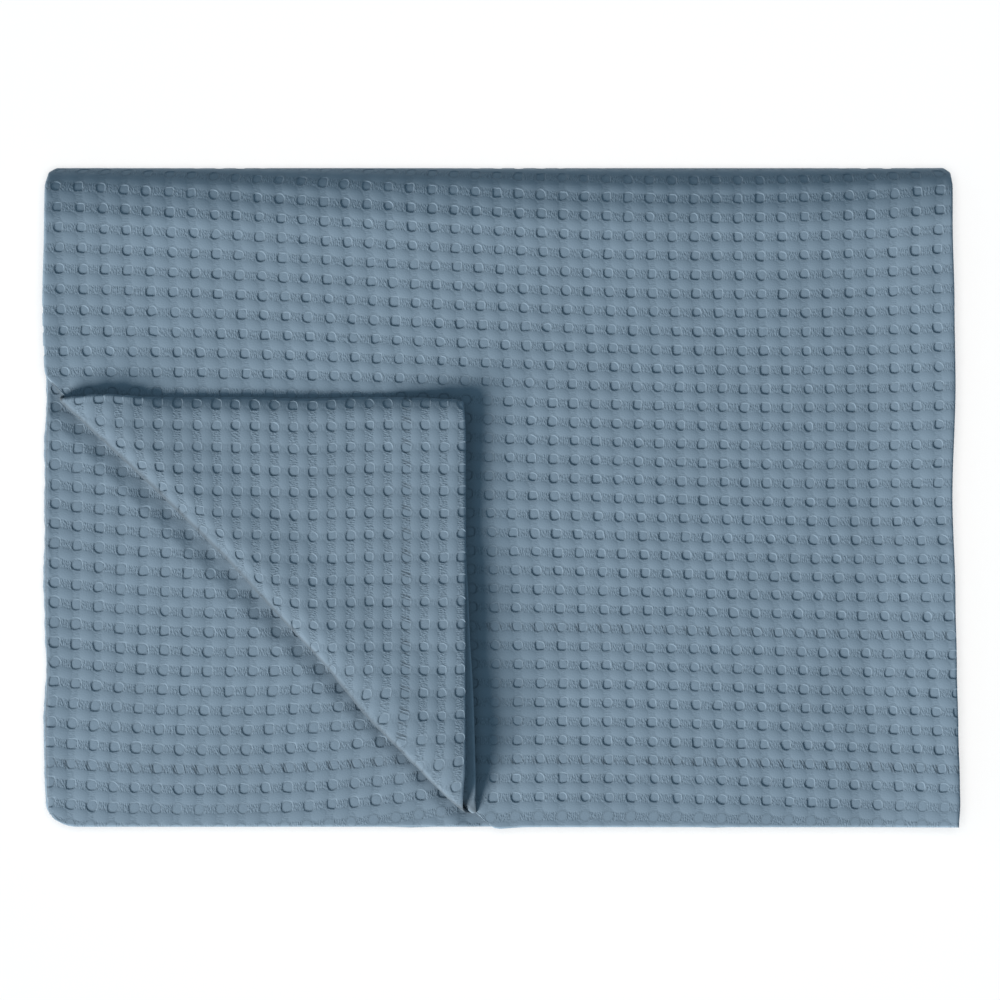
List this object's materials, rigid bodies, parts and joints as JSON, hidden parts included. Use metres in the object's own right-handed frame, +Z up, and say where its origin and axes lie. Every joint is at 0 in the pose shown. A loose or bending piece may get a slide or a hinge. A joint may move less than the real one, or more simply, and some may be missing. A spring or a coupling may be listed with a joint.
{
  "type": "folded waffle weave cotton blanket",
  "caption": "A cotton blanket in a pitted waffle weave, folded flat into a thick rectangle with one corner of its top plies turned back; it lies on a bed, shelf or sofa.",
  "frame": {"origin": "on the surface, under the middle of the folded stack's box", "axes": "+X along the top fold towards the side hems, +Y from the hems to the top fold, +Z up"},
  "size_m": [0.4514, 0.3248, 0.0285],
  "materials": {
    "cotton": "matt grey-blue waffle weave cotton"
  },
  "bodies": {
    "root": {"blanket": "cotton"}
  },
  "joints": []
}
